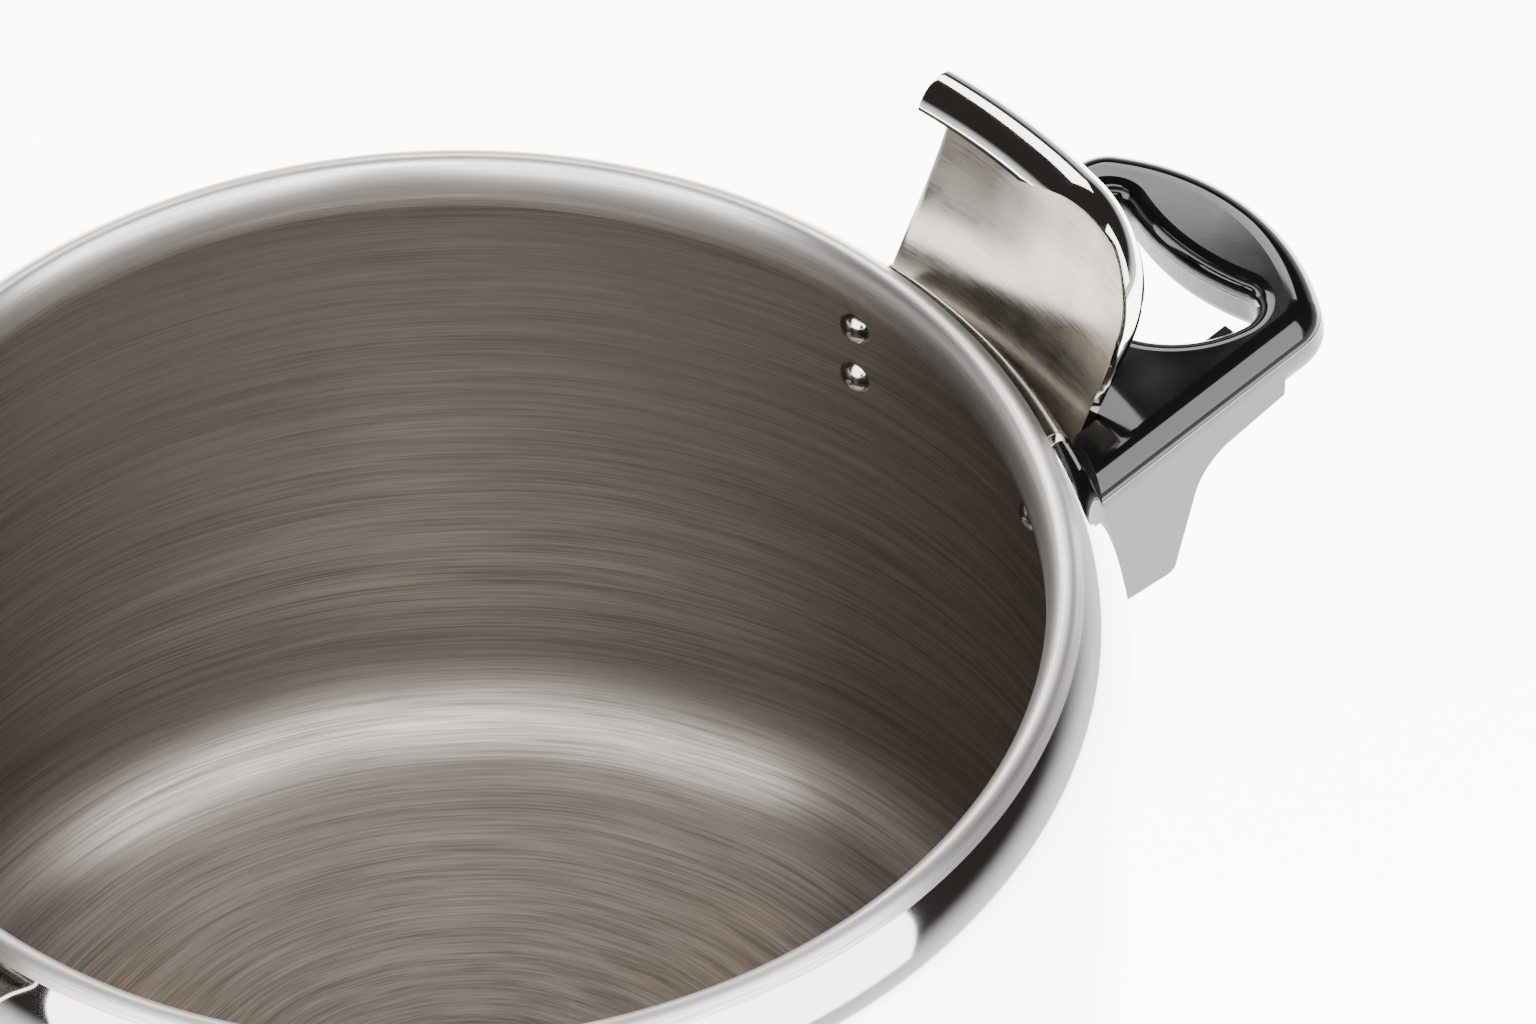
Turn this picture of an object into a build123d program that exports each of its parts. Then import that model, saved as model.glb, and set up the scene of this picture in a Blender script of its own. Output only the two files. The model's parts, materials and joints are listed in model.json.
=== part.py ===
from build123d import *
import os
from math import cos, radians, sin, sqrt, tan

# Millimetres. +Z is up, the origin is the centre of the underside, side a is on +X and side b on -X.

# pot shell
wall_radius = 150.0          # outside of the straight wall
rim_height = 204.0           # top of the rim above the table
shell_sheet = 1.2
corner_radius = 33.2         # outside, between wall and bottom
lip_radius = 131.4           # inside of the turned-in lip
crest_radius = 135.3         # circle along the top of the rim
lip_depth = 12.0             # top of the rim down to the lip's edge
lip_round_height = 7.6       # height of the rounding on the lip side
crest_bend = 4.3             # outside bend on top of the rim
shoulder_bend = 25.7         # outside bend from the rim down to the wall
shoulder_slope = 38.6        # degrees below level, between the two bends
line_groove = 0.3            # radius of the fine turned line round the rim
line_groove_radius = 139.6   # circle it runs on

# bonded base
cap_sheet = 0.8
disc_thickness = 7.0
disc_radius = 112.0
base_gap = 0.1               # braze line round the disc

# hook bracket
bracket_sheet = 2.0
flange_bottom = 141.0        # underside of the ears
flange_top = 170.5           # where the sheet leaves the wall
flange_closed_side = -60.0
flange_open_side = 40.0
kink_height = 201.5          # where the flare turns steeper
curl_radius = 7.0            # outside of the rolled top
curl_centre_radius = 165.7
curl_centre_height = 229.5
curl_lean = 14.4             # degrees the sheet leans out below the rolled top
foot_bend = 4.0              # inside bend where the sheet leaves the wall
kink_bend = 40.0
lip_edge_round = 0.9
stop_foot = 186.0            # where the end wall runs out into the sheet
hood_join = 176.0            # level where the hollow upper part starts
hook_open_side = 23.5
hook_flare = 4.0             # how much wider the sheet is at the foot of the open side
hook_closed_foot = -42.5     # closed side where the sheet leaves the wall
hook_closed_top = -49.5      # closed side at the rolled top
stop_corner = 4.5            # outside rounding of the closed corner
flange_corner = 6.0

# bracket rivets
rivet_columns = (-11.75, 11.75)   # degrees round the pot
rivet_rows = (150.2, 165.4)
rivet_shank = 4.8            # diameter
rivet_head = 8.2             # diameter, inside the pot
rivet_head_height = 2.4
rivet_tail = 7.2             # diameter, outside the bracket
rivet_tail_height = 1.9
rivet_clearance = 0.02

# handle
handle_centre = -20.7        # its middle plane, measured along the wall
handle_half_width = 39.3
handle_reach = 221.0         # outermost point from the pot's axis
handle_slope = 9.2           # degrees its top rises outwards
handle_top_in = 186.2        # top of the handle at the wall
grip_thickness = 16.0
grip_round = 7.4             # on the outer edges of the grip
bow_radius = 62.0            # outer edge of the grip seen from above
loop_corner = 12.0
grip_swell = 6.0             # how much thicker the grip is in its middle
hole_centre = 200.0          # the finger hole is a half disc round this point
hole_radius = 27.2
hole_out = 204.0             # outer side of the finger hole, at its corners
hole_corner = 6.0
hole_round = 4.5
handle_bottom = 143.2        # underside of the feet
handle_foot_out = 163.0      # outer face of the feet at the bottom
foot_lean = 0.28             # how far that face leans out per millimetre of height
foot_width = 20.0
foot_round = 3.0             # under the outer edge of the feet
foot_edge_round = 1.0        # upright edges of the feet
cheek_end = 195.0            # where the flat sides of the legs run out under the grip
web_bend = 14.0              # outside bend between feet and plate
web_bottom = 171.5           # underside between the feet
handle_gap = 0.2             # moulding to steel

# handle fixings
stud_diameter = 5.0
stud_in_foot = 20.0
stud_clearance = 0.02
stud_hole_clearance = 0.25
stud_chamfer = 0.5
stud_end_gap = 0.2
stud_columns = (-49.7, 8.6)
stud_reaches = (153.5, 157.6)
ear_half_width = 8.5
ear_margin = 5.6             # ear beyond the stud's centre
ear_corner = 4.0
washer_diameter = 10.0
washer_thickness = 1.2
nut_flats = 8.0
nut_hex_height = 4.0
nut_height = 8.6
nut_dome = 7.4               # diameter where the dome starts
nut_crown = 1.8              # dome left above the end of the stud
nut_corner_drop = 0.6        # plain height before the hexagon's corners are cut back

base_height = cap_sheet + disc_thickness
corner_top = base_height + corner_radius
slope = radians(shoulder_slope)


def spin(face, angle=360, start=0):
    """Turns a face in the X-Z plane round the pot's axis."""
    return revolve(Rot(0, 0, start) * face, Axis.Z, angle)


def xz_face(*edges):
    return Plane.XZ * make_face(Curve() + list(edges))


def shoulder_start():
    """Height where the wall starts to bend in towards the rim."""
    rise = rim_height - crest_bend + (crest_bend - shoulder_bend) * cos(slope)
    run = wall_radius - shoulder_bend - crest_radius + (shoulder_bend - crest_bend) * sin(slope)
    return rise - run * tan(slope)


def shell_edge(inset):
    """Half outline of the shell's outside, moved inwards by the inset, from the axis to the lip."""
    wall = wall_radius - inset
    floor = base_height + inset
    flat = wall_radius - corner_radius
    crest_centre = rim_height - crest_bend
    shoulder_centre = wall_radius - shoulder_bend
    shoulder_level = shoulder_start()
    bend = shoulder_bend - inset
    shoulder_end = (shoulder_centre + bend * sin(slope), shoulder_level + bend * cos(slope))
    bend_top = crest_bend - inset
    crest_point = (crest_radius + bend_top * sin(slope), crest_centre + bend_top * cos(slope))
    lip = lip_radius + inset
    round_level = rim_height - lip_round_height
    return [
        Line((0, floor), (flat, floor)),
        CenterArc((flat, corner_top), corner_radius - inset, -90, 90),
        Line((wall, corner_top), (wall, shoulder_level)),
        CenterArc((shoulder_centre, shoulder_level), bend, 0, 90 - shoulder_slope),
        Line(shoulder_end, crest_point),
        CenterArc((crest_radius, crest_centre), bend_top, 90 - shoulder_slope, shoulder_slope),
        EllipticalCenterArc(
            (crest_radius, round_level), crest_radius - lip, lip_round_height - inset, 90, arc_size=90
        ),
        Line((lip, round_level), (lip, rim_height - lip_depth)),
    ]


def rim_groove():
    start = crest_radius + crest_bend * sin(slope)
    drop = crest_bend * (1 - cos(slope)) + (line_groove_radius - start) * tan(slope)
    return Pos(0, 0, rim_height - drop) * Torus(line_groove_radius, line_groove)


def rivet_places():
    for column in rivet_columns:
        for row in rivet_rows:
            yield Pos(0, 0, row) * Rot(0, 0, column)


def rivet_holes():
    drill = Pos(wall_radius, 0, 0) * Rot(0, 90, 0) * Cylinder(rivet_shank / 2 + rivet_clearance, 20)
    return [place * drill for place in rivet_places()]


def pot_shell():
    lip_low = rim_height - lip_depth
    closing = [
        Line((0, base_height), (0, base_height + shell_sheet)),
        Line((lip_radius, lip_low), (lip_radius + shell_sheet, lip_low)),
    ]
    shell = spin(xz_face(*shell_edge(0), *shell_edge(shell_sheet), *closing))
    shell -= rim_groove()
    for hole in rivet_holes():
        shell -= hole
        shell -= Rot(0, 0, 180) * hole
    return shell


def level_band(shape, low, high):
    """The part of a shape between two heights."""
    return shape & Pos(0, 0, (low + high) / 2) * Cylinder(2 * wall_radius, high - low)


def base_disc():
    return Pos(0, 0, cap_sheet + disc_thickness / 2) * Cylinder(disc_radius, disc_thickness)


def base_cap():
    outside = disc_radius + base_gap + cap_sheet
    pan = Pos(0, 0, base_height / 2) * Cylinder(outside, base_height)
    pan = fillet(pan.edges().group_by(Axis.Z)[0], cap_sheet * 0.8)
    room = Pos(0, 0, cap_sheet + base_height / 2) * Cylinder(disc_radius + base_gap, base_height)
    return pan - room


def parallel(points, distance):
    """Moves an open chain of straight lines sideways to the left, keeping its corners sharp."""
    moved = []
    steps = [(Vector(*b) - Vector(*a)).normalized() for a, b in zip(points, points[1:])]
    for index, point in enumerate(points):
        before = steps[max(index - 1, 0)]
        after = steps[min(index, len(steps) - 1)]
        normal = Vector(-before.Y - after.Y, before.X + after.X).normalized()
        reach = distance / (normal.X * -after.Y + normal.Y * after.X)
        moved.append((point[0] + normal.X * reach, point[1] + normal.Y * reach))
    return moved


def bracket_chain():
    """Outside of the bracket sheet from the ears up to where the rolled top starts."""
    flange = wall_radius + bracket_sheet
    start = (
        curl_centre_radius + curl_radius * cos(radians(curl_lean)),
        curl_centre_height - curl_radius * sin(radians(curl_lean)),
    )
    kink = (start[0] - (start[1] - kink_height) * tan(radians(curl_lean)), kink_height)
    return [(flange, flange_bottom), (flange, flange_top), kink, start]


def round_near(face, point, radius):
    return fillet(face.vertices().sort_by_distance((point[0], point[1], 0))[0], radius)


def bracket_section():
    outside = bracket_chain()
    inside = parallel(outside, bracket_sheet)
    centre = (curl_centre_radius, curl_centre_height)
    outer_lip = (curl_centre_radius - curl_radius, curl_centre_height)
    inner_lip = (outer_lip[0] + bracket_sheet, curl_centre_height)
    turn = 180 + curl_lean
    edges = Curve() + [
        Polyline(*outside),
        CenterArc(centre, curl_radius, -curl_lean, turn),
        Line(outer_lip, inner_lip),
        CenterArc(centre, curl_radius - bracket_sheet, -curl_lean, turn),
        Polyline(*inside),
        Line(inside[0], outside[0]),
    ]
    face = make_face(edges)
    for chain, extra in ((outside, bracket_sheet), (inside, 0)):
        face = round_near(face, chain[1], foot_bend + bracket_sheet - extra)
        face = round_near(face, chain[2], kink_bend + extra)
    for corner in (outer_lip, inner_lip):
        face = round_near(face, corner, lip_edge_round)
    return Plane.XZ * face


def hood_section(inset):
    """Everything inside the upper sheet's outside, moved in by the inset, down to the join."""
    chain = parallel(bracket_chain(), inset) if inset else bracket_chain()
    radius = curl_radius - inset
    lip = (curl_centre_radius - radius, curl_centre_height)
    deep = wall_radius * 0.9
    edges = Curve() + [
        Polyline(*chain[1:]),
        CenterArc((curl_centre_radius, curl_centre_height), radius, -curl_lean, 180 + curl_lean),
        Polyline(lip, (deep, lip[1]), (deep, chain[1][1]), chain[1]),
    ]
    face = round_near(make_face(edges), chain[2], kink_bend + bracket_sheet - inset)
    above = Pos(0, hood_join) * Rectangle(4 * wall_radius, lip[1], align=(Align.CENTER, Align.MIN))
    return Plane.XZ * (face & above)


def hood_corner(block):
    """Rounded edge between the rolled sheet and its closed end."""
    lean = (hook_closed_top - hook_closed_foot) / (curl_centre_height - flange_top)
    chain = []
    for edge in block.edges():
        middle = edge @ 0.5
        side = hook_closed_foot + lean * (middle.Z - flange_top)
        on_end = middle.Y < side + bracket_sheet + 0.01
        outside = sqrt(middle.X ** 2 + middle.Y ** 2) > curl_centre_radius - curl_radius * 1.4
        if on_end and outside and middle.Z > hood_join + 0.01:
            chain.append(edge)
    return chain


def free_edge():
    """Area behind the free edge of the closed end, which is cut away."""
    inside = parallel(bracket_chain(), bracket_sheet)
    low, high = inside[1], inside[2]
    share = (stop_foot - low[1]) / (high[1] - low[1])
    foot = (low[0] + share * (high[0] - low[0]), stop_foot)
    lip = (curl_centre_radius - curl_radius, curl_centre_height)
    deep = wall_radius * 0.8
    top = 2 * curl_centre_height
    return Plane.XZ * make_face(Polyline(
        low, foot, lip, (lip[0], top), (deep, top), (deep, low[1]), low
    ))


def closed_side(inset=0):
    """Half space on the hook's side of its slanted closed end, seen along the radius."""
    lean = (hook_closed_top - hook_closed_foot) / (curl_centre_height - flange_top)
    top = 2 * curl_centre_height
    low_side = hook_closed_foot + inset - lean * flange_top
    high_side = low_side + lean * top
    return make_face(Polyline(
        (low_side, 0), (wall_radius, 0), (wall_radius, top), (high_side, top), (low_side, 0)
    ))


def along_radius(face):
    """Turns a drawing of wall position against height into a block through the +X side."""
    return Pos(wall_radius * 0.8, 0, 0) * extrude(Plane.YZ * face, wall_radius * 0.4)


def bracket_outline():
    top = curl_centre_height + 2 * curl_radius
    step = flange_corner
    shape = make_face(Polyline(
        (flange_closed_side, flange_bottom), (flange_open_side, flange_bottom),
        (flange_open_side, flange_top - step), (hook_open_side + hook_flare, flange_top + step),
        (hook_open_side, kink_height), (hook_open_side, top),
        (flange_closed_side, top), (flange_closed_side, flange_bottom),
    ))
    upper = Pos(0, flange_top - step) * Rectangle(
        2 * wall_radius, top, align=(Align.CENTER, Align.MIN)
    )
    return shape - (upper - closed_side())


def ear(column, stud_reach):
    """Tab under one foot of the handle, bent out of the flange's lower edge."""
    low = column - ear_half_width
    high = column + ear_half_width
    start = wall_radius * 0.9
    ear_reach = stud_reach + ear_margin
    plate = make_face(Polyline(
        (start, low), (ear_reach, low), (ear_reach, high), (start, high), (start, low)
    ))
    for side in (low, high):
        plate = round_near(plate, (ear_reach, side), ear_corner)
    tab = Pos(0, 0, flange_bottom) * extrude(plate, bracket_sheet)
    return tab - Pos(0, 0, flange_bottom) * Cylinder(wall_radius, 6 * bracket_sheet)


def stud_places():
    return [Pos(reach, column, 0) for reach, column in zip(stud_reaches, stud_columns)]


def hood(inset):
    """Upper part of the bracket as a solid lump; two of them make the hollow sheet."""
    span = 80
    outline = closed_side(inset)
    if inset == 0:
        beyond = Rectangle(2 * wall_radius, 4 * curl_centre_height, align=(Align.MIN, Align.CENTER))
        outline -= Pos(hook_open_side, 0) * beyond
    block = spin(hood_section(inset), span, -span / 2) & along_radius(outline)
    return fillet(hood_corner(block), stop_corner - inset)


def bracket():
    span = 80
    lower = spin(bracket_section(), span, -span / 2) & along_radius(bracket_outline())
    lower &= Cylinder(2 * wall_radius, 2 * hood_join)
    upper = hood(0) - hood(bracket_sheet) - spin(free_edge(), span, -span / 2)
    body = lower + upper
    for column, reach in zip(stud_columns, stud_reaches):
        body += ear(column, reach)
    stud_hole = Cylinder(stud_diameter / 2 + stud_hole_clearance, 4 * bracket_sheet)
    for place in stud_places():
        body -= place * Pos(0, 0, flange_bottom) * stud_hole
    for hole in rivet_holes():
        body -= hole
    return body


def dome(diameter, height):
    """Shallow round head standing on the X-Y plane."""
    radius = (diameter ** 2 / 4 + height ** 2) / (2 * height)
    room = Cylinder(diameter, height, align=(Align.CENTER, Align.CENTER, Align.MIN))
    return Pos(0, 0, height - radius) * Sphere(radius) & room


def bracket_rivets():
    inside = sqrt((wall_radius - shell_sheet) ** 2 - (rivet_head / 2) ** 2) - rivet_clearance
    outside = wall_radius + bracket_sheet + rivet_clearance
    shank = Pos((inside + outside) / 2, 0, 0) * Rot(0, 90, 0) * Cylinder(rivet_shank / 2, outside - inside)
    head = Pos(inside, 0, 0) * Rot(0, -90, 0) * dome(rivet_head, rivet_head_height)
    tail = Pos(outside, 0, 0) * Rot(0, 90, 0) * dome(rivet_tail, rivet_tail_height)
    rivet = shank + head + tail
    return Compound([place * rivet for place in rivet_places()])


def tilted(shape):
    """Moves a drawing made at level zero onto the handle's sloping top plane."""
    return Pos(wall_radius, 0, handle_top_in) * Rot(0, -handle_slope, 0) * Pos(-wall_radius, 0, 0) * shape


def handle_plan():
    """Loop of the handle seen from above, without its finger hole."""
    low = handle_centre - handle_half_width
    high = handle_centre + handle_half_width
    start = wall_radius * 0.8
    ends = handle_reach - bow_radius + sqrt(bow_radius ** 2 - handle_half_width ** 2)
    loop = make_face(Curve() + [
        ThreePointArc((ends, low), (handle_reach, handle_centre), (ends, high)),
        Polyline((ends, high), (start, high), (start, low), (ends, low)),
    ])
    loop = round_near(loop, (ends, low), loop_corner)
    return round_near(loop, (ends, high), loop_corner)


def finger_hole():
    hole = Pos(hole_centre, handle_centre) * Circle(hole_radius)
    swell = (hole_radius ** 2 + grip_swell ** 2) / (2 * grip_swell)
    hole -= Pos(hole_out - grip_swell + swell, handle_centre) * Circle(swell)
    return fillet(hole.vertices(), hole_corner)


def flat_rims(plate):
    """Edges lying in the plate's top and underside, but for the straight one nearest the pot."""
    rims = plate.faces().sort_by(Axis.Z)
    edges = rims[0].edges() + rims[-1].edges()
    return [edge for edge in edges if (edge @ 0.5).X > wall_radius * 0.8 + 1]


def handle_plate():
    """Sloping plate with the grip along its outer edge."""
    plate = extrude(handle_plan(), -grip_thickness)
    plate = fillet(flat_rims(plate), grip_round)
    hole = extrude(finger_hole(), -grip_thickness)
    plate -= hole
    rims = []
    for edge in plate.edges():
        middle = edge @ 0.5
        near_hole = Vector(middle.X - hole_centre, middle.Y - handle_centre, 0).length < hole_radius + 0.1
        level = min(abs(middle.Z), abs(middle.Z + grip_thickness))
        if near_hole and level < 0.01:
            rims.append(edge)
    return tilted(fillet(rims, hole_round))


def plate_level(reach, share):
    """Height inside the sloping plate, from its top at share 0 down to its underside at share 1."""
    return handle_top_in + (reach - wall_radius) * tan(radians(handle_slope)) - share * grip_thickness


def handle_foot(low):
    """One leg and the cheek above it, with its lower side at the given wall position."""
    start = wall_radius * 0.8
    lean_out = handle_foot_out + foot_lean * (web_bottom - handle_bottom)
    shape = make_face(Polyline(
        (start, plate_level(start, 0.5)), (cheek_end, plate_level(cheek_end, 0.5)),
        (cheek_end, plate_level(cheek_end, 1)), (lean_out, web_bottom),
        (handle_foot_out, handle_bottom), (start, handle_bottom), (start, plate_level(start, 0.5)),
    ))
    shape = round_near(shape, (lean_out, web_bottom), web_bend)
    shape = round_near(shape, (handle_foot_out, handle_bottom), foot_round)
    leg = Pos(0, low + foot_width, 0) * extrude(Plane.XZ * shape, foot_width)
    outer = []
    for edge in leg.edges():
        middle = edge @ 0.5
        on_side = abs(middle.Y - low - foot_width / 2) > 1
        if on_side and handle_foot_out - foot_round < middle.X < cheek_end - 1 and middle.Z < web_bottom:
            outer.append(edge)
    return fillet(outer, foot_edge_round)


def flare_room():
    """Space kept clear of the handle by the flared sheet."""
    chain = parallel(bracket_chain(), -handle_gap)
    deep = wall_radius * 0.9
    face = make_face(Polyline(*chain, (deep, chain[3][1]), (deep, chain[0][1]), chain[0]))
    face = round_near(face, chain[1], foot_bend - handle_gap)
    face = round_near(face, chain[2], kink_bend + bracket_sheet + handle_gap)
    return spin(Plane.XZ * face, 80, -40) & along_radius(closed_side(-handle_gap))


def handle():
    low = handle_centre - handle_half_width
    high = handle_centre + handle_half_width - foot_width
    body = handle_plate() + handle_foot(low) + handle_foot(high)
    body -= Cylinder(wall_radius + bracket_sheet + handle_gap, 4 * wall_radius)
    body -= flare_room()
    top = handle_bottom + stud_in_foot + stud_end_gap
    drill = Cylinder(stud_diameter / 2 + stud_clearance, top, align=(Align.CENTER, Align.CENTER, Align.MIN))
    for place in stud_places():
        body -= place * drill
    return body


def handle_studs():
    bottom = flange_bottom - washer_thickness - nut_height + nut_crown
    length = handle_bottom + stud_in_foot - bottom
    rod = Pos(0, 0, bottom + length / 2) * Cylinder(stud_diameter / 2, length)
    rod = chamfer(rod.edges(), stud_chamfer)
    return Compound([place * rod for place in stud_places()])


def stud_washers():
    level = flange_bottom - washer_thickness / 2
    ring = Cylinder(washer_diameter / 2, washer_thickness)
    ring -= Cylinder(stud_diameter / 2 + stud_hole_clearance, washer_thickness)
    return Compound([place * Pos(0, 0, level) * ring for place in stud_places()])


def dome_nuts():
    seat = flange_bottom - washer_thickness
    grip = extrude(RegularPolygon(nut_flats / 2, 6, major_radius=False), nut_hex_height)
    cone = Pos(0, 0, nut_hex_height / 2) * Cone(nut_flats / 2 + nut_hex_height, nut_flats / 2, nut_hex_height)
    grip &= Pos(0, 0, nut_corner_drop) * cone + Cylinder(nut_flats, 2 * nut_corner_drop)
    cap = Pos(0, 0, nut_hex_height) * dome(nut_dome, nut_height - nut_hex_height)
    thread = Cylinder(
        stud_diameter / 2 + stud_clearance, nut_height - nut_crown + stud_end_gap,
        align=(Align.CENTER, Align.CENTER, Align.MIN),
    )
    nut = Pos(0, 0, seat) * Rot(180, 0, 0) * (grip + cap - thread)
    return Compound([place * nut for place in stud_places()])


os.makedirs("parts", exist_ok=True)
shell = pot_shell()   # one drawn sheet, written as three bands that meet face to face
export_step(level_band(shell, 0, corner_top), "parts/pot_floor.step")
export_step(level_band(shell, corner_top, shoulder_start()), "parts/pot_wall.step")
export_step(level_band(shell, shoulder_start(), rim_height + 1), "parts/pot_rim.step")
export_step(base_disc(), "parts/base_disc.step")
export_step(base_cap(), "parts/base_cap.step")
side_pieces = {
    "bracket": bracket(),
    "bracket_rivets": bracket_rivets(),
    "handle": handle(),
    "handle_studs": handle_studs(),
    "stud_washers": stud_washers(),
    "dome_nuts": dome_nuts(),
}
for side, turn in (("a", 0), ("b", 180)):
    for name, piece in side_pieces.items():
        export_step(Rot(0, 0, turn) * piece, f"parts/{name}_{side}.step")
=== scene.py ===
import json
import math
import bpy
import numpy as np
from mathutils import Matrix, Vector


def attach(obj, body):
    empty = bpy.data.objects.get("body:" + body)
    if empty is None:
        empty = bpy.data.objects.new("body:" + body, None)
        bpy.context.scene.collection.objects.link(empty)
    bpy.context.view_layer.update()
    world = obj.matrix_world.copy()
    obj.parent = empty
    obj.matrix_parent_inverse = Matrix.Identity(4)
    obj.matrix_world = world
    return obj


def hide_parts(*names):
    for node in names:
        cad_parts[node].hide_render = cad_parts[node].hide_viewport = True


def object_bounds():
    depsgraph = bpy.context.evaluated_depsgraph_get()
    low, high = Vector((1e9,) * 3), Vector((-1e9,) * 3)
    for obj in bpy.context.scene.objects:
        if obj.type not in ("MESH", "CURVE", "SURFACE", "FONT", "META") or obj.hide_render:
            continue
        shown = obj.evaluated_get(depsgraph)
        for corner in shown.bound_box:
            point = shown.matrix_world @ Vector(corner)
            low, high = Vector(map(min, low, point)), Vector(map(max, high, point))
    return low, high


# Looks for the brew kettle: a drawn steel pot with riveted hook brackets and moulded loop handles.
# Metres, same frame as the parts: +Z up, origin at the centre of the underside, handle side a on +X.

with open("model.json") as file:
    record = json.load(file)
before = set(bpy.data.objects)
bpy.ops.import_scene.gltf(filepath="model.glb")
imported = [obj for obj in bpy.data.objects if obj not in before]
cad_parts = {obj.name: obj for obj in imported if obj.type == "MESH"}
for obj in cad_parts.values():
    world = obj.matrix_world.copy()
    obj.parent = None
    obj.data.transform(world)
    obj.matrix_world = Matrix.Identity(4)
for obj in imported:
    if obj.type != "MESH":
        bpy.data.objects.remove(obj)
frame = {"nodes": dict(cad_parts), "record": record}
cadLow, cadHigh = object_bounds()
nodes = frame["nodes"]
mounts = {m["name"]: m for m in frame["record"]["mounts"]}
print("frame loaded:", len(nodes), "nodes")


def linearColour(hexValue, alpha=1.0):  # sRGB hex to linear light
    parts = [int(hexValue[i:i + 2], 16) / 255 for i in (1, 3, 5)]
    return [p / 12.92 if p <= 0.04045 else ((p + 0.055) / 1.055) ** 2.4 for p in parts] + [alpha]


def addNode(tree, kind, inputs=None, **settings):  # one node with its settings, values and links
    node = tree.nodes.new("ShaderNode" + kind)
    for name, value in settings.items():
        setattr(node, name, value)
    for key, value in (inputs or {}).items():
        if isinstance(value, bpy.types.NodeSocket):
            tree.links.new(value, node.inputs[key])
        else:
            node.inputs[key].default_value = value
    return node


def newMaterial(name):
    material = bpy.data.materials.new(name)
    material.use_nodes = True
    tree = material.node_tree
    tree.nodes.clear()
    return material, tree


def finishMaterial(material, tree, surface):
    output = addNode(tree, "OutputMaterial")
    tree.links.new(surface, output.inputs["Surface"])
    return material


def aroundAxis(tree):  # position split into radius, height and the direction round the pot's axis
    point = addNode(tree, "TexCoord").outputs["Object"]
    parts = addNode(tree, "SeparateXYZ", {0: point})
    flat = addNode(tree, "CombineXYZ", {0: parts.outputs[0], 1: parts.outputs[1]}).outputs[0]
    radius = addNode(tree, "VectorMath", {0: flat}, operation="LENGTH").outputs["Value"]
    turn = addNode(tree, "VectorMath", {0: flat}, operation="NORMALIZE").outputs["Vector"]
    return {"point": point, "radius": radius, "height": parts.outputs[2], "turn": turn, "x": parts.outputs[0]}


def ringScratches(tree, place, along, streaks, pitch, sway, detail=5.0):
    # lines running round the axis: noise on a ring `streaks` long, stepped every `pitch` metres along
    # the surface; `sway` metres of slow wave lets the lines cross at a slight angle
    wave = addNode(tree, "TexNoise", {"Vector": place["turn"], "Scale": 1.6, "Detail": 1.0}).outputs[0]
    middle = addNode(tree, "Math", {0: wave, 1: 0.5}, operation="SUBTRACT").outputs[0]
    shift = addNode(tree, "Math", {0: middle, 1: sway}, operation="MULTIPLY").outputs[0]
    moved = addNode(tree, "Math", {0: along, 1: shift}, operation="ADD").outputs[0]
    step = addNode(tree, "Math", {0: moved, 1: pitch}, operation="DIVIDE").outputs[0]
    ring = addNode(tree, "VectorMath", {0: place["turn"], 3: streaks}, operation="SCALE").outputs["Vector"]
    lift = addNode(tree, "CombineXYZ", {2: step}).outputs[0]
    where = addNode(tree, "VectorMath", {0: ring, 1: lift}, operation="ADD").outputs["Vector"]
    lines = addNode(tree, "TexNoise", {"Vector": where, "Scale": 1.0, "Detail": detail, "Roughness": 0.65})
    return lines.outputs[0]


# pot shell
shell = {
    "wallRadius": 0.150, "rimHeight": 0.204, "sheet": 0.0012, "bottomLevel": 0.0078,
    "cornerRadius": 0.0332, "lipRadius": mounts["mouth"]["dims"]["r_mm"] / 1000,
    "crestRadius": 0.1353, "lipDepth": 0.012, "lipRound": 0.0076, "crestBend": 0.0043,
    "shoulderBend": 0.0257, "slope": 38.6, "polishFrom": 0.1396,   # radius where the buffing starts
    "rounds": 336,
    # the two rim colours are the inside's brushed steel painted lighter: painted light for the sky the rim
    # faces, fading in between the two rim heights on the next line
    "satin": "#9d9690", "satinDark": "#6f6963", "rimPaintedLight": "#d2cfcb", "rimPaintedLightDark": "#aaa6a2",
    "polished": "#dcdad7", "rimStart": 0.190, "rimEnd": 0.197,
    "scratchPitch": 0.00045,   # real grit leaves 0.1 mm lines; drawn coarser so that they show
}


def arcPoints(centre, radii, start, end, count):
    angle = np.radians(np.linspace(start, end, count))
    return np.stack([centre[0] + radii[0] * np.cos(angle), centre[1] + radii[1] * np.sin(angle)], 1)


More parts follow.
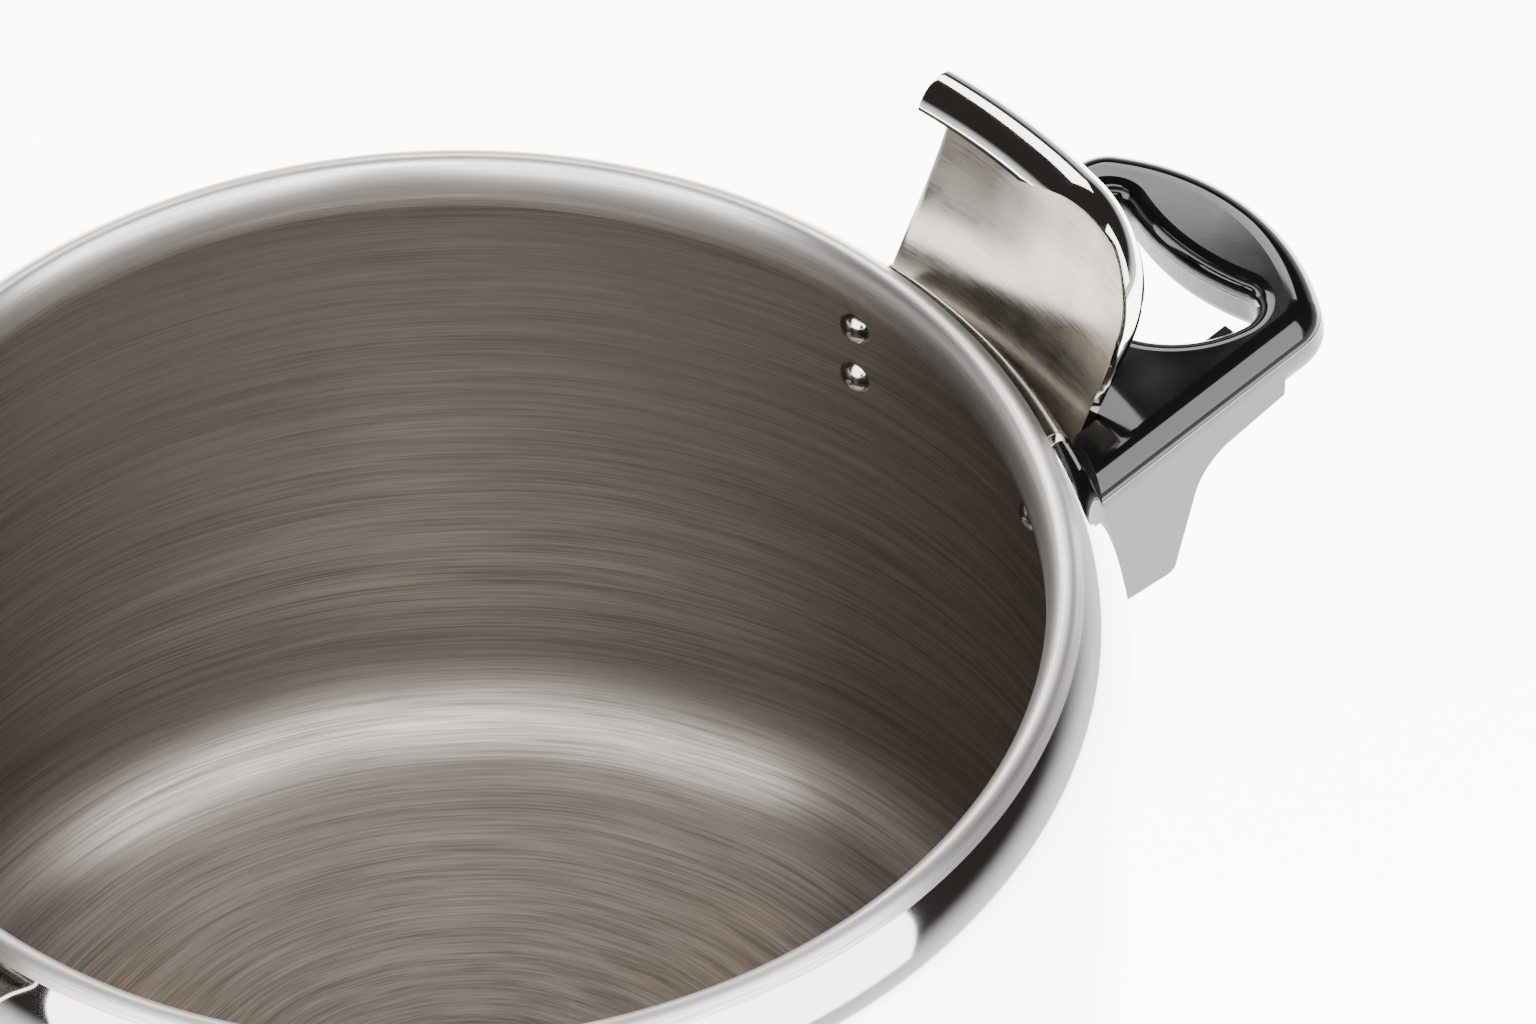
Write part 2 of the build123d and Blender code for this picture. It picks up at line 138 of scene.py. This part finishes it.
def shellProfile(inset):
    # straight floor, quarter circle, straight wall, shoulder bend, slope, crest bend, quarter ellipse, lip
    s = shell
    slope = math.radians(s["slope"])
    wall, floor = s["wallRadius"] - inset, s["bottomLevel"] + inset
    cornerTop = s["bottomLevel"] + s["cornerRadius"]
    crestLevel = s["rimHeight"] - s["crestBend"]
    crestEnd = (s["crestRadius"] + s["crestBend"] * math.sin(slope),
                crestLevel + s["crestBend"] * math.cos(slope))
    middle = s["wallRadius"] - s["shoulderBend"]
    run = middle + s["shoulderBend"] * math.sin(slope) - crestEnd[0]
    level = crestEnd[1] - run * math.tan(slope) - s["shoulderBend"] * math.cos(slope)
    bend, top, lip = s["shoulderBend"] - inset, s["crestBend"] - inset, s["lipRadius"] + inset
    roundLevel = s["rimHeight"] - s["lipRound"]
    flat = np.linspace(0, s["wallRadius"] - s["cornerRadius"], 26)
    straight = np.linspace(cornerTop, level, 26)[1:-1]
    shoulder = arcPoints((middle, level), (bend, bend), 0, 90 - s["slope"], 18)
    crest = arcPoints((s["crestRadius"], crestLevel), (top, top), 90 - s["slope"], 90, 8)
    slopeLine = shoulder[-1] + np.linspace(0, 1, 8)[1:-1, None] * (crest[0] - shoulder[-1])
    return np.concatenate([
        np.stack([flat, np.full_like(flat, floor)], 1),
        arcPoints((flat[-1], cornerTop), (s["cornerRadius"] - inset,) * 2, -90, 0, 20)[1:],
        np.stack([np.full_like(straight, wall), straight], 1),
        shoulder, slopeLine, crest,
        arcPoints((s["crestRadius"], roundLevel), (s["crestRadius"] - lip, s["lipRound"] - inset),
                  90, 180, 18)[1:],
        [(lip, s["rimHeight"] - s["lipDepth"])],
    ])


def turnedMesh(name, profile, rounds, attributes):
    # each profile point (r, z) becomes a ring of `rounds` points (r cos t, r sin t, z); the two ends
    # lie on the axis and are single points closed with fans
    angle = np.linspace(0, 2 * np.pi, rounds, endpoint=False)
    ring = profile[1:-1]
    x = ring[:, :1] * np.cos(angle)
    y = ring[:, :1] * np.sin(angle)
    z = np.repeat(ring[:, 1:], rounds, 1)
    points = np.stack([x, y, z], -1).reshape(-1, 3)
    ends = np.array([[0, 0, profile[0, 1]], [0, 0, profile[-1, 1]]])
    points = np.concatenate([points, ends])
    k = np.arange(rounds)
    following = (k + 1) % rounds
    row = np.arange(len(ring) - 1)[:, None] * rounds
    quads = np.stack([row + k, row + following, row + rounds + following, row + rounds + k], -1)
    quads = quads.reshape(-1, 4)
    first = np.stack([np.full(rounds, len(points) - 2), following, k], 1)
    last = (len(ring) - 1) * rounds
    final = np.stack([np.full(rounds, len(points) - 1), last + k, last + following], 1)
    mesh = bpy.data.meshes.new(name)
    mesh.from_pydata(points.tolist(), [], quads.tolist() + first.tolist() + final.tolist())
    for label, values in attributes.items():
        spread = np.concatenate([np.repeat(values[1:-1], rounds), [values[0], values[-1]]])
        mesh.attributes.new(label, "FLOAT", "POINT").data.foreach_set("value", spread.astype(np.float32))
    mesh.shade_smooth()
    mesh.validate()
    piece = bpy.data.objects.new(name, mesh)
    bpy.context.scene.collection.objects.link(piece)
    return piece


def makeShell():
    outside, inside = shellProfile(0.0), shellProfile(shell["sheet"])[::-1]
    profile = np.concatenate([outside, inside])
    rise = len(outside)
    steps = np.linalg.norm(np.diff(profile, axis=0), axis=1)
    along = np.concatenate([[0], np.cumsum(steps)])
    polish = np.zeros(len(profile))   # 1 where the outside is buffed
    polish[:rise] = outside[:, 0] > shell["polishFrom"]
    return turnedMesh("potShell", profile, shell["rounds"], {"along": along, "polish": polish})


def drawnSteelBrushedAndBuffed():
    # Drawn 18/8 stainless: turned with grit inside and on the rim, which spreads light across the
    # lines, and buffed to a mirror outside, which shows the room.
    material, tree = newMaterial("drawnSteelBrushedAndBuffed")
    place = aroundAxis(tree)
    along = addNode(tree, "Attribute", attribute_name="along").outputs["Fac"]
    polish = addNode(tree, "Attribute", attribute_name="polish").outputs["Fac"]
    polish = addNode(tree, "MapRange", {0: polish, 1: 0.35, 2: 0.65},
                     interpolation_type="SMOOTHSTEP").outputs[0]
    fine = ringScratches(tree, place, along, 3.4, shell["scratchPitch"], 0.0035)
    coarse = ringScratches(tree, place, along, 2.0, 0.0030, 0.006, detail=3.0)
    cloud = addNode(tree, "TexNoise", {"Vector": place["point"], "Scale": 9.0, "Detail": 3.0}).outputs[0]
    fineShare = addNode(tree, "Math", {0: fine, 1: 0.62}, operation="MULTIPLY").outputs[0]
    coarseShare = addNode(tree, "Math", {0: coarse, 1: 0.38}, operation="MULTIPLY").outputs[0]
    mixed = addNode(tree, "Math", {0: fineShare, 1: coarseShare}, operation="ADD").outputs[0]
    tone = addNode(tree, "MapRange", {0: mixed, 1: 0.38, 2: 0.62}).outputs[0]
    satin = addNode(tree, "Mix", {
        0: tone, 6: linearColour(shell["satinDark"]), 7: linearColour(shell["satin"]),
    }, data_type="RGBA").outputs[2]
    # painted highlight: the rim band gets a lighter copy of the same brushed steel, standing in for the sky
    # it reflects
    rimPaintedLight = addNode(tree, "Mix", {
        0: tone, 6: linearColour(shell["rimPaintedLightDark"]), 7: linearColour(shell["rimPaintedLight"]),
    }, data_type="RGBA").outputs[2]
    # height mask of the painted rim highlight, 0 below the first rim height and 1 above the second
    paintedRimLightShare = addNode(tree, "MapRange", {
        0: place["height"], 1: shell["rimStart"], 2: shell["rimEnd"],
    }).outputs[0]
    brushed = addNode(tree, "Mix", {0: paintedRimLightShare, 6: satin, 7: rimPaintedLight}, data_type="RGBA").outputs[2]
    colour = addNode(tree, "Mix", {0: polish, 6: brushed, 7: linearColour(shell["polished"])},
                     data_type="RGBA").outputs[2]
    satinRough = addNode(tree, "MapRange", {0: mixed, 1: 0.3, 2: 0.7, 3: 0.42, 4: 0.28}).outputs[0]
    smear = addNode(tree, "MapRange", {0: cloud, 1: 0.35, 2: 0.7, 3: 0.045, 4: 0.085}).outputs[0]
    rough = addNode(tree, "Mix", {0: polish, 2: satinRough, 3: smear}).outputs[0]
    depth = addNode(tree, "Mix", {0: polish, 2: 0.30, 3: 0.012}).outputs[0]
    bump = addNode(tree, "Bump", {"Strength": depth, "Distance": 0.00006, "Height": mixed}).outputs[0]
    tangent = addNode(tree, "Tangent", direction_type="RADIAL", axis="Z").outputs[0]
    steel = addNode(tree, "BsdfPrincipled", {
        "Base Color": colour, "Metallic": 1.0, "Roughness": rough, "Anisotropic": 0.75,
        "Anisotropic Rotation": 0.25, "Normal": bump, "Tangent": tangent,
    })
    return finishMaterial(material, tree, steel.outputs[0])


shellPiece = makeShell()
shellPiece.data.materials.append(drawnSteelBrushedAndBuffed())
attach(shellPiece, "root")
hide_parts("pot_floor", "pot_wall", "pot_rim")
print("pot shell:", len(shellPiece.data.polygons), "faces")

# bonded base
base = {"cap": "#bcb8b2", "disc": "#c9c9c8", "ringPitch": 0.0009}


def turnedSatinSteel():
    # The base cap is a 430 steel pan faced on a lathe: even rings that catch light in two opposite fans.
    material, tree = newMaterial("turnedSatinSteel")
    place = aroundAxis(tree)
    along = addNode(tree, "Math", {0: place["radius"], 1: place["height"]}, operation="SUBTRACT").outputs[0]
    rings = ringScratches(tree, place, along, 3.0, base["ringPitch"], 0.0)
    rough = addNode(tree, "MapRange", {0: rings, 1: 0.3, 2: 0.7, 3: 0.38, 4: 0.24}).outputs[0]
    bump = addNode(tree, "Bump", {"Strength": 0.3, "Distance": 0.00006, "Height": rings}).outputs[0]
    tangent = addNode(tree, "Tangent", direction_type="RADIAL", axis="Z").outputs[0]
    steel = addNode(tree, "BsdfPrincipled", {
        "Base Color": linearColour(base["cap"]), "Metallic": 1.0, "Roughness": rough,
        "Anisotropic": 0.6, "Anisotropic Rotation": 0.25, "Normal": bump, "Tangent": tangent,
    })
    return finishMaterial(material, tree, steel.outputs[0])


def rolledAluminium():
    # The bonded disc is rolled plate, only its edge could ever show: dull, with straight roll marks.
    material, tree = newMaterial("rolledAluminium")
    point = addNode(tree, "TexCoord").outputs["Object"]
    stretched = addNode(tree, "Mapping", {"Vector": point, "Scale": (40, 900, 900)}).outputs[0]
    marks = addNode(tree, "TexNoise", {"Vector": stretched, "Scale": 1.0, "Detail": 3.0}).outputs[0]
    rough = addNode(tree, "MapRange", {0: marks, 3: 0.35, 4: 0.5}).outputs[0]
    bump = addNode(tree, "Bump", {"Strength": 0.2, "Distance": 0.00005, "Height": marks}).outputs[0]
    metal = addNode(tree, "BsdfPrincipled", {
        "Base Color": linearColour(base["disc"]), "Metallic": 1.0, "Roughness": rough, "Normal": bump,
    })
    return finishMaterial(material, tree, metal.outputs[0])


def dress(prefix, material):  # the material on every carried-over node whose name starts so
    for name, node in nodes.items():
        if name.startswith(prefix):
            node.data.materials.clear()
            node.data.materials.append(material)


dress("base_cap", turnedSatinSteel())
dress("base_disc", rolledAluminium())
print("base dressed")

# hook brackets
bracket = {
    "mirror": "#d9d7d4", "satin": "#b5b0a9", "grainPitch": 0.0006,
    "sheet": 0.002, "wallFace": 0.152, "flangeLow": 0.141, "flangeTop": 0.166,
    "flangeSides": (-0.060, 0.040), "topLevel": 0.2290, "cornerRadius": 0.019,
    "openSide": (0.0275, 0.0235), "closedSide": (-0.0420, -0.0440),   # at the foot, at the top
    "flare": 0.021, "flareShape": (0.637, 1.585, -1.222),   # share of the flare at each height, a cubic
    "rollWidth": 0.0074, "rollEnd": 168, "stopFoot": 0.184,
    "ears": ((-0.0497, 0.1591), (0.0086, 0.1632)), "earHalf": 0.0085, "earRound": 0.0042,
}


def sheetPoint(across, height):
    # outer face of the sheet: (sqrt(r^2 - across^2), across, height), r growing with height as a cubic
    b = bracket
    share = np.clip((height - b["flangeTop"]) / (b["topLevel"] - b["flangeTop"]), 0, 1.1)
    first, second, third = b["flareShape"]
    r = b["wallFace"] + b["flare"] * (first * share + second * share ** 2 + third * share ** 3)
    return np.stack([np.sqrt(r ** 2 - across ** 2), across, height], -1)


def unit(vectors):
    return vectors / np.linalg.norm(vectors, axis=-1, keepdims=True)


def rolledSheet():
    # One row per point of the sheet's edge, which runs along the top, round a wide corner and down the
    # closed side. Each row goes straight up the sheet to that edge, then over the roll: edge + width *
    # (sin t outwards + (1 - cos t) towards the pot), with width and last angle shrinking down the side.
    b = bracket
    top, corner = b["topLevel"], b["cornerRadius"]
    closedTop, closedFoot = b["closedSide"][1], b["closedSide"][0]
    startX = b["openSide"][1]
    line = np.linspace(startX, closedTop + corner, 60)
    turn = np.radians(np.linspace(90, 180, 40))[1:]
    bend = np.stack([closedTop + corner + corner * np.cos(turn), top - corner + corner * np.sin(turn)], 1)
    down = np.linspace(0, 1, 70)[1:]
    side = np.stack([closedTop + down * (closedFoot - closedTop),
                     top - corner + down * (b["flangeTop"] + 0.003 - top + corner)], 1)
    edge = np.concatenate([np.stack([line, np.full_like(line, top)], 1), bend, side])
    lengths = np.concatenate([[0], np.cumsum(np.linalg.norm(np.diff(edge, axis=0), axis=1))])
    share = lengths / lengths[-1]
    foot = np.stack([b["openSide"][0] + (closedFoot - b["openSide"][0]) * np.minimum(share / 0.97, 1) ** 0.8,
                     np.full(len(edge), b["flangeTop"])], 1)
    along = unit(np.gradient(edge, axis=0))
    outward = np.stack([along[:, 1], -along[:, 0]], 1)
    fall = np.clip((edge[:, 1] - b["stopFoot"]) / (top - corner - b["stopFoot"]), 0, 1)
    sideShare = np.where(edge[:, 1] < top - corner, 0.72, 1)   # the roll is narrower down the side
    width = 0.0006 + (b["rollWidth"] - 0.0006) * (fall ** 0.9) * sideShare
    blendIn = np.convolve(np.pad(width, 14, mode="edge"), np.ones(29) / 29, "valid")
    curled = np.where(edge[:, 1] > top - 1e-6, 1.0, 0.52 * fall ** 0.5)   # share of the full roll
    curled = np.convolve(np.pad(curled, 16, mode="edge"), np.ones(33) / 33, "valid")
    last = np.radians(20 + (b["rollEnd"] - 20) * curled)
    up = np.linspace(0, 1, 30)[None, :, None]
    flat = foot[:, None] + (edge - foot)[:, None] * up
    sheet = sheetPoint(flat[..., 0], flat[..., 1])
    above = sheetPoint(flat[..., 0], flat[..., 1] + 0.0005) - sheet
    beside = sheetPoint(flat[..., 0] + 0.0005, flat[..., 1]) - sheet
    sheetOut = unit(np.cross(beside, above))
    start = sheetPoint(edge[:, 0], edge[:, 1])
    step = 0.0005
    ahead = unit(start - sheetPoint(edge[:, 0] - outward[:, 0] * step, edge[:, 1] - outward[:, 1] * step))
    inwards = unit(-start * np.array([1, 1, 0]))
    inwards = unit(inwards - (inwards * ahead).sum(1, keepdims=True) * ahead)
    angle = last[:, None] * np.linspace(0, 1, 26)[1:]
    roll = start[:, None] + blendIn[:, None, None] * (
        np.sin(angle)[..., None] * ahead[:, None] + (1 - np.cos(angle))[..., None] * inwards[:, None])
    rollOut = np.sin(angle)[..., None] * ahead[:, None] - np.cos(angle)[..., None] * inwards[:, None]
    return np.concatenate([sheet, roll], 1), np.concatenate([sheetOut, unit(rollOut)], 1)


def wallFlange():
    # band of a cylinder: (sqrt(r^2 - y^2), y, z) over the flange's width and height
    b = bracket
    levels = np.linspace(b["flangeLow"], b["flangeTop"], 8)
    across, height = np.meshgrid(np.linspace(*b["flangeSides"], 60), levels, indexing="ij")
    band = np.stack([np.sqrt(b["wallFace"] ** 2 - across ** 2), across, height], -1)
    return band, unit(band * np.array([1, 1, 0]))


def earPlate(middle, reach):
    # flat tab: rows across, narrowing to a quarter circle over the last stretch
    b = bracket
    start = b["wallFace"] - 0.0015   # just inside the flange
    out = np.linspace(start, reach, 24)
    over = np.clip((out - reach + b["earRound"]) / b["earRound"], 0, 0.985)
    half = b["earHalf"] - b["earRound"] * (1 - np.sqrt(1 - over ** 2))
    across = middle + half[:, None] * np.linspace(-1, 1, 14)
    x = out[:, None] + 0 * across
    if middle < -0.03:   # the ear far from the middle follows the flange's curve
        x = np.maximum(x, np.sqrt(start ** 2 - across ** 2))
    plate = np.stack([x, across, np.full_like(across, b["flangeLow"] + b["sheet"])], -1)
    return plate, np.broadcast_to(np.array([0.0, 0.0, 1.0]), plate.shape)


def sheetsToMesh(name, sheets, thickness):
    # each sheet is a grid of points with its outward directions: a second grid lies one thickness
    # behind it, and a strip of faces closes the border; faces behind take material 1, the front and the
    # border material 0
    points, faces, finish, offset = [], [], [], 0
    for grid, out in sheets:
        rows, columns = grid.shape[:2]
        index = np.arange(rows * columns).reshape(rows, columns) + offset
        back = index + rows * columns
        front = np.stack([index[:-1, :-1], index[:-1, 1:], index[1:, 1:], index[1:, :-1]], -1).reshape(-1, 4)
        flat = grid.reshape(-1, 3)
        i, j = rows // 2, columns // 2
        leaning = np.cross(grid[i, j + 1] - grid[i, j], grid[i + 1, j] - grid[i, j]) @ out[i, j]
        border = np.concatenate([index[0, :-1], index[:-1, -1], index[-1, :0:-1], index[:0:-1, 0]])
        after = np.roll(border, -1)
        strip = np.stack([after, border, border + rows * columns, after + rows * columns], -1)
        if leaning < 0:
            front, strip = front[:, ::-1], strip[:, ::-1]
        behind = front[:, ::-1] + rows * columns
        points += [flat, flat - out.reshape(-1, 3) * thickness]
        faces += [front, behind, strip]
        finish += [np.zeros(len(front)), np.ones(len(behind)), np.zeros(len(strip))]
        offset += 2 * rows * columns
    mesh = bpy.data.meshes.new(name)
    mesh.from_pydata(np.concatenate(points).tolist(), [], np.concatenate(faces).tolist())
    mesh.polygons.foreach_set("material_index", np.concatenate(finish).astype(np.int32))
    mesh.shade_smooth()
    piece = bpy.data.objects.new(name, mesh)
    bpy.context.scene.collection.objects.link(piece)
    return piece


def pressedSteel(name, colour, roughLow, roughHigh, grainDepth, dentDepth):
    # Pressed 2 mm stainless: buffed bright on the show side and the roll; the side facing the pot
    # keeps a faint grain and soft dents of the press, so its reflections are blurred and wavy.
    material, tree = newMaterial(name)
    place = aroundAxis(tree)
    leaning = addNode(tree, "Math", {0: place["radius"], 1: 0.35}, operation="MULTIPLY").outputs[0]
    along = addNode(tree, "Math", {0: place["height"], 1: leaning}, operation="ADD").outputs[0]
    grain = ringScratches(tree, place, along, 16.0, bracket["grainPitch"], 0.004, detail=3.0)
    dents = addNode(tree, "TexNoise", {"Vector": place["point"], "Scale": 34.0, "Detail": 0.0}).outputs[0]
    smear = addNode(tree, "TexNoise", {"Vector": place["point"], "Scale": 90.0, "Detail": 3.0}).outputs[0]
    grainShare = addNode(tree, "Math", {0: grain, 1: 0.5}, operation="MULTIPLY").outputs[0]
    smearShare = addNode(tree, "Math", {0: smear, 1: 0.5}, operation="MULTIPLY").outputs[0]
    mixed = addNode(tree, "Math", {0: grainShare, 1: smearShare}, operation="ADD").outputs[0]
    rough = addNode(tree, "MapRange", {0: mixed, 1: 0.35, 2: 0.65, 3: roughLow, 4: roughHigh}).outputs[0]
    soft = addNode(tree, "Bump", {"Strength": dentDepth, "Distance": 0.004, "Height": dents}).outputs[0]
    bump = addNode(tree, "Bump", {
        "Strength": grainDepth, "Distance": 0.00004, "Height": grain, "Normal": soft,
    }).outputs[0]
    steel = addNode(tree, "BsdfPrincipled", {
        "Base Color": linearColour(colour), "Metallic": 1.0, "Roughness": rough, "Normal": bump,
    })
    return finishMaterial(material, tree, steel.outputs[0])


def makeBracket(letter, turn, materials):
    sheets = [rolledSheet(), wallFlange()] + [earPlate(*ear) for ear in bracket["ears"]]
    halfTurn = np.array([turn, turn, 1])   # the far side is the near one turned half round
    piece = sheetsToMesh("hookBracket" + letter, [(grid * halfTurn, out * halfTurn) for grid, out in sheets],
                         bracket["sheet"])
    for material in materials:
        piece.data.materials.append(material)
    rounding = piece.modifiers.new("edges", "BEVEL")
    rounding.width, rounding.segments, rounding.limit_method = 0.0006, 3, "ANGLE"
    rounding.angle_limit = math.radians(50)
    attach(piece, "root")
    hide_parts("bracket_" + letter.lower())
    return piece


bracketFinishes = [
    pressedSteel("buffedPressedSteel", bracket["mirror"], 0.035, 0.075, 0.03, 0.06),
    pressedSteel("satinPressedSteel", bracket["satin"], 0.14, 0.24, 0.15, 0.12),
]
makeBracket("A", 1, bracketFinishes)
makeBracket("B", -1, bracketFinishes)

# rivets and fixings
fastening = {"rivet": "#cbc8c3", "plated": "#c6c5c1"}


def headedSteelWire(name, colour, roughLow, roughHigh):
    # Cold-headed steel: bright and smooth, with faint die marks and finger smears.
    material, tree = newMaterial(name)
    point = addNode(tree, "TexCoord").outputs["Object"]
    marks = addNode(tree, "TexNoise", {"Vector": point, "Scale": 700.0, "Detail": 3.0}).outputs[0]
    smear = addNode(tree, "TexNoise", {"Vector": point, "Scale": 160.0, "Detail": 2.0}).outputs[0]
    rough = addNode(tree, "MapRange", {0: smear, 1: 0.3, 2: 0.7, 3: roughLow, 4: roughHigh}).outputs[0]
    bump = addNode(tree, "Bump", {"Strength": 0.12, "Distance": 0.00015, "Height": marks}).outputs[0]
    steel = addNode(tree, "BsdfPrincipled", {
        "Base Color": linearColour(colour), "Metallic": 1.0, "Roughness": rough, "Normal": bump,
    })
    return finishMaterial(material, tree, steel.outputs[0])


dress("bracket_rivets", headedSteelWire("headedSteelRivet", fastening["rivet"], 0.10, 0.22))
platedSteel = headedSteelWire("brightPlatedSteel", fastening["plated"], 0.14, 0.28)
for prefix in ("handle_studs", "stud_washers", "dome_nuts"):
    dress(prefix, platedSteel)
print("brackets and fixings dressed")

# handles
handle = {
    "black": "#09090a", "side": "#0d0d0e", "topAtWall": 0.1862, "slope": 9.2, "wallRadius": 0.150,
    "partingDrop": 0.0052, "partingWidth": 0.00035,
}


def mouldedPhenolic():
    # Compression-moulded phenolic: black right through, wet gloss where the mould was polished on top,
    # duller on the sides where it was trimmed, with the fine line where the mould halves met.
    material, tree = newMaterial("mouldedPhenolic")
    place = aroundAxis(tree)
    normal = addNode(tree, "NewGeometry").outputs["Normal"]
    upward = addNode(tree, "SeparateXYZ", {0: normal}).outputs[2]
    gloss = addNode(tree, "MapRange", {0: upward, 1: 0.02, 2: 0.30},
                    interpolation_type="SMOOTHSTEP").outputs[0]
    reach = addNode(tree, "Math", {0: place["x"]}, operation="ABSOLUTE").outputs[0]
    out = addNode(tree, "Math", {0: reach, 1: handle["wallRadius"]}, operation="SUBTRACT").outputs[0]
    lean = math.tan(math.radians(handle["slope"]))
    rise = addNode(tree, "Math", {0: out, 1: lean}, operation="MULTIPLY").outputs[0]
    foot = handle["topAtWall"] - handle["partingDrop"]
    line = addNode(tree, "Math", {0: rise, 1: foot}, operation="ADD").outputs[0]
    gap = addNode(tree, "Math", {0: place["height"], 1: line}, operation="SUBTRACT").outputs[0]
    off = addNode(tree, "Math", {0: gap}, operation="ABSOLUTE").outputs[0]
    seam = addNode(tree, "MapRange", {0: off, 1: handle["partingWidth"], 2: 0.0},
                   interpolation_type="SMOOTHSTEP").outputs[0]
    flow = addNode(tree, "TexNoise", {"Vector": place["point"], "Scale": 60.0, "Detail": 4.0}).outputs[0]
    grit = addNode(tree, "TexNoise", {"Vector": place["point"], "Scale": 1500.0, "Detail": 2.0}).outputs[0]
    colour = addNode(tree, "Mix", {
        0: gloss, 6: linearColour(handle["side"]), 7: linearColour(handle["black"]),
    }, data_type="RGBA").outputs[2]
    glossRough = addNode(tree, "MapRange", {0: flow, 1: 0.3, 2: 0.7, 3: 0.05, 4: 0.11}).outputs[0]
    sideRough = addNode(tree, "MapRange", {0: grit, 1: 0.3, 2: 0.7, 3: 0.38, 4: 0.52}).outputs[0]
    rough = addNode(tree, "Mix", {0: gloss, 2: sideRough, 3: glossRough}).outputs[0]
    gritDepth = addNode(tree, "Mix", {0: gloss, 2: 0.25, 3: 0.02}).outputs[0]
    fine = addNode(tree, "Bump", {"Strength": gritDepth, "Distance": 0.00006, "Height": grit}).outputs[0]
    bump = addNode(tree, "Bump", {
        "Strength": 0.6, "Distance": 0.0003, "Height": seam, "Normal": fine,
    }).outputs[0]
    resin = addNode(tree, "BsdfPrincipled", {
        "Base Color": colour, "Roughness": rough, "IOR": 1.5, "Normal": bump,
    })
    return finishMaterial(material, tree, resin.outputs[0])


dress("handle_a", mouldedPhenolic())
dress("handle_b", bpy.data.materials["mouldedPhenolic"])
print("handles dressed")

# room
room = {
    "floorColour": "#f4f3f1", "floorGlow": 9.0, "floorSize": 8.0,
    "skyLow": "#ffffff", "skyHigh": "#2a2826", "skyStrength": 1.6,
    # azimuth round the pot, height angle, distance, width, height, power
    "leftBox": (-160, 42, 1.5, 1.5, 1.7, 55),
    "rightBox": (-84, 42, 1.5, 1.5, 1.7, 55),
    "backBox": (60, 42, 1.7, 1.8, 0.6, 26),
}


def softBox(name, azimuth, elevation, distance, width, height, power):
    light = bpy.data.lights.new(name, "AREA")
    light.shape, light.size, light.size_y, light.energy = "RECTANGLE", width, height, power
    box = bpy.data.objects.new(name, light)
    a, e = math.radians(azimuth), math.radians(elevation)
    target = Vector((0, 0, 0.15))
    way = Vector((math.cos(a) * math.cos(e), math.sin(a) * math.cos(e), math.sin(e)))
    box.location = target + way * distance
    box.rotation_euler = way.to_track_quat("Z", "Y").to_euler()
    bpy.context.scene.collection.objects.link(box)


def makeFloor():
    half = room["floorSize"] / 2
    corners = np.array([[-1, -1], [1, -1], [1, 1], [-1, 1]]) * half
    mesh = bpy.data.meshes.new("floor")
    mesh.from_pydata([(x, y, cadLow.z) for x, y in corners.tolist()], [], [(0, 1, 2, 3)])
    floor = bpy.data.objects.new("floor", mesh)
    bpy.context.scene.collection.objects.link(floor)
    material, tree = newMaterial("paperSweep")  # matt white paper, lit evenly
    point = addNode(tree, "TexCoord").outputs["Object"]
    tooth = addNode(tree, "TexNoise", {"Vector": point, "Scale": 300.0, "Detail": 2.0}).outputs[0]
    bump = addNode(tree, "Bump", {"Strength": 0.05, "Distance": 0.0002, "Height": tooth}).outputs[0]
    paper = addNode(tree, "BsdfPrincipled", {
        "Base Color": linearColour(room["floorColour"]), "Roughness": 0.9, "Normal": bump,
        "Emission Color": linearColour("#ffffff"), "Emission Strength": room["floorGlow"],
    })
    mesh.materials.append(finishMaterial(material, tree, paper.outputs[0]))


def makeSky():  # bright near the horizon, dim overhead, so the pot's inside stays in half shade
    world = bpy.data.worlds.new("studio")
    bpy.context.scene.world = world
    world.use_nodes = True
    tree = world.node_tree
    tree.nodes.clear()
    way = addNode(tree, "SeparateXYZ", {0: addNode(tree, "TexCoord").outputs["Generated"]}).outputs[2]
    height = addNode(tree, "MapRange", {0: way, 1: 0.02, 2: 0.40}, interpolation_type="SMOOTHSTEP").outputs[0]
    colour = addNode(tree, "Mix", {
        0: height, 6: linearColour(room["skyLow"]), 7: linearColour(room["skyHigh"]),
    }, data_type="RGBA").outputs[2]
    glow = addNode(tree, "Background", {0: colour, 1: room["skyStrength"]})
    output = addNode(tree, "OutputWorld")
    tree.links.new(glow.outputs[0], output.inputs[0])


makeFloor()
makeSky()
for name in ("leftBox", "rightBox", "backBox"):
    softBox(name, *room[name])
print("room and lights ready")

# camera
view = {
    "distance": 1.2222, "height": 1.41242, "side": 36.6,     # metres from the axis, metres up, degrees
    "yaw": 3.364, "pitch": 44.312, "roll": -0.877, "lens": 187.31,
}


def makeCamera():
    side, yaw, pitch, roll = (math.radians(view[k]) for k in ("side", "yaw", "pitch", "roll"))
    spin = Matrix.Rotation(-side, 3, "Z")
    level = math.cos(pitch)
    forward = spin @ Vector((math.sin(yaw) * level, math.cos(yaw) * level, -math.sin(pitch)))
    aside = spin @ Vector((math.cos(yaw), -math.sin(yaw), 0))
    rise = aside.cross(forward)
    right = math.cos(roll) * aside + math.sin(roll) * rise
    up = -math.sin(roll) * aside + math.cos(roll) * rise
    lens = bpy.data.cameras.new("camera")
    lens.sensor_width, lens.lens, lens.clip_start = 36.0, view["lens"], 0.01
    camera = bpy.data.objects.new("camera", lens)
    turn = Matrix((right, up, -forward)).transposed().to_4x4()
    place = Vector((-view["distance"] * math.sin(side), -view["distance"] * math.cos(side), view["height"]))
    camera.matrix_world = Matrix.Translation(place) @ turn
    bpy.context.scene.collection.objects.link(camera)
    bpy.context.scene.camera = camera


makeCamera()
print("camera ready")
